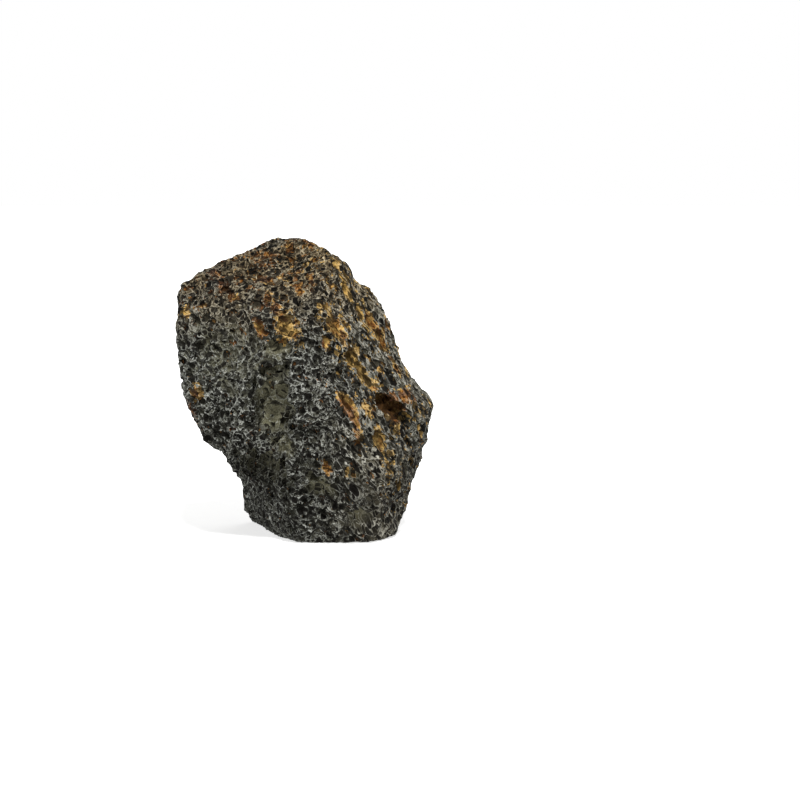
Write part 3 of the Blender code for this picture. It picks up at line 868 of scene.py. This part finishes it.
class LAVAROCK_OT_stone(bpy.types.Operator):
    """Build the stone's bubbled surface in place of the plain solid"""
    bl_idname = "lavarock.stone"
    bl_label = "Build Stone"

    def execute(self, context):
        """A ball of square cells is moved onto the form, carved with bubbles and given its colours."""
        settings = context.scene.lava_rock
        directions, quads = cube_directions(settings.grid_steps, GRID_SHIFT)
        surface = seated(form(directions))
        normals = vertex_normals(surface, quads)
        surface = surface - normals * (SKIN + ROUGH * np.abs(waves(surface, ROUGH_LENGTH, 8)))[:, None]
        base = surface[:, 2] < BASE_LEVEL
        places, widths, stretches, depths = (np.array(column) for column in zip(*bubbles()))
        every = (np.concatenate(pair) for pair in zip((places, widths, stretches, depths), small_bubbles()))
        carved, share, wall, shade = carve(surface, normals, *every)
        carved[base] = surface[base]
        share[base] = 0
        carved[:, 2] = np.maximum(carved[:, 2], 0)
        low, high = (np.array(corner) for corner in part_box(NODE))
        carved = np.clip(carved, low, high)
        strength, hue = patch_colours(surface)
        drawn = drawn_share(surface)
        weathered = np.clip((surface[:, 2] - WEATHERED_FROM) / WEATHERED_OVER, 0, 1)
        warm = np.maximum(weathered, DRAWN_WEATHERED * drawn)
        mesh = bpy.data.meshes.new("stone")
        mesh.from_pydata(carved, [], quads.tolist())
        values = (share, wall, shade, floor_share(directions), strength, hue, warm, drawn)
        for name, value in zip(POINT_VALUES, values):
            mesh.attributes.new(name, 'FLOAT', 'POINT').data.foreach_set("value", value.astype(np.float32))
        mesh.polygons.foreach_set("use_smooth", np.ones(len(mesh.polygons), bool))
        mesh.materials.append(basalt_material(settings))
        mesh.validate()
        mesh.update()
        mesh.set_sharp_from_angle(angle=CREASE_ANGLE)
        stone = bpy.data.objects.new("stone", mesh)
        context.scene.collection.objects.link(stone)
        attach(stone, "root")
        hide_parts(NODE)
        return {'FINISHED'}


def aim(thing, target):
    """Turns a camera or light at a place so that it looks at the target."""
    thing.rotation_euler = (Vector(target) - thing.location).to_track_quat('-Z', 'Y').to_euler()


def area_light(scene, name, place, size, power):
    """A square soft light that shines on the stone."""
    light = bpy.data.lights.new(name, 'AREA')
    light.shape = 'SQUARE'
    light.size = size
    light.energy = power
    thing = bpy.data.objects.new(name, light)
    scene.collection.objects.link(thing)
    thing.location = place
    aim(thing, LIT_PLACE)


def key_light(scene, power):
    """The main light, a sun with soft edges from the upper front."""
    sun = bpy.data.lights.new("key", 'SUN')
    sun.energy = power
    sun.angle = KEY_ANGLE
    key = bpy.data.objects.new("key", sun)
    scene.collection.objects.link(key)
    key.location = KEY_PLACE
    aim(key, LIT_PLACE)


def studio_world(sky):
    """A world that the camera sees as white, and that lights the stone with the sky's strength."""
    world = bpy.data.worlds.new("studio")
    world.use_nodes = True
    tree = NodeTree(world.node_tree)
    background = world.node_tree.nodes["Background"].inputs
    seen = tree.add('ShaderNodeLightPath').outputs['Is Camera Ray']
    tree.put(background['Strength'], tree.between(seen, 0.0, 1.0, sky, 1.0))
    tree.put(background['Color'], WHITE)
    return world


def pale_floor(scene):
    """A square of pale paper, which glows a little so that it melts into the white behind."""
    corners = [(x * FLOOR_REACH, y * FLOOR_REACH, 0) for x, y in ((-1, -1), (1, -1), (1, 1), (-1, 1))]
    mesh = bpy.data.meshes.new("floor")
    mesh.from_pydata(corners, [], [(0, 1, 2, 3)])
    paper = bpy.data.materials.new("pale floor")
    paper.use_nodes = True
    shader = paper.node_tree.nodes["Principled BSDF"].inputs
    shader['Base Color'].default_value = full(PAPER)
    shader['Roughness'].default_value = PAPER_ROUGHNESS
    shader['Emission Color'].default_value = WHITE
    shader['Emission Strength'].default_value = PAPER_GLOW
    mesh.materials.append(paper)
    floor = bpy.data.objects.new("floor", mesh)
    scene.collection.objects.link(floor)


class LAVAROCK_OT_stage(bpy.types.Operator):
    """Set up the floor, the soft lights and the camera"""
    bl_idname = "lavarock.stage"
    bl_label = "Set Up Studio"

    def execute(self, context):
        """The camera looks at the photograph's middle, right of and a little below the form centre."""
        scene = context.scene
        settings = scene.lava_rock_stage
        back = Vector((0, -np.cos(settings.elevation), np.sin(settings.elevation)))
        right = Vector((1, 0, 0))
        up = back.cross(right)
        aside, below = (middle - own for middle, own in zip(PICTURE_MIDDLE, FORM_PIXEL))
        target = Vector(FORM_CENTRE) + right * aside * PIXEL - up * below * PIXEL
        camera = bpy.data.objects.new("camera", bpy.data.cameras.new("camera"))
        scene.collection.objects.link(camera)
        camera.data.lens = settings.lens
        camera.location = target + back * settings.distance
        aim(camera, target)
        scene.camera = camera
        key_light(scene, settings.key_power)
        area_light(scene, "fill", FILL_PLACE, FILL_SIZE, settings.fill_power)
        area_light(scene, "back fill", BACK_PLACE, BACK_SIZE, settings.back_power)
        scene.world = studio_world(settings.sky)
        pale_floor(scene)
        scene.view_settings.view_transform = 'Standard'
        return {'FINISHED'}


class LAVAROCK_PT_panel(bpy.types.Panel):
    """Buttons and settings for the stone and its studio"""
    bl_label = "Lava Rock"
    bl_idname = "LAVAROCK_PT_panel"
    bl_space_type = 'VIEW_3D'
    bl_region_type = 'UI'
    bl_category = "Lava Rock"

    def draw(self, context):
        """Lists the operators, each over its settings."""
        for operator, group in (("lavarock.stone", "lava_rock"), ("lavarock.stage", "lava_rock_stage")):
            self.layout.operator(operator)
            settings = getattr(context.scene, group)
            for name in settings.__annotations__:
                self.layout.prop(settings, name)


CLASSES = (LavaRockSettings, LavaRockStageSettings, LAVAROCK_OT_stone, LAVAROCK_OT_stage, LAVAROCK_PT_panel)


def register():
    """Registers the classes and hangs their settings on the scene."""
    for item in CLASSES:
        bpy.utils.register_class(item)
    bpy.types.Scene.lava_rock = PointerProperty(type=LavaRockSettings)
    bpy.types.Scene.lava_rock_stage = PointerProperty(type=LavaRockStageSettings)


def unregister():
    """Takes the settings and the classes away again."""
    del bpy.types.Scene.lava_rock_stage
    del bpy.types.Scene.lava_rock
    for item in reversed(CLASSES):
        bpy.utils.unregister_class(item)


def main():
    register()
    bpy.ops.lavarock.stone()
    bpy.ops.lavarock.stage()
    bpy.context.view_layer.update()


if __name__ == "__main__":
    main()
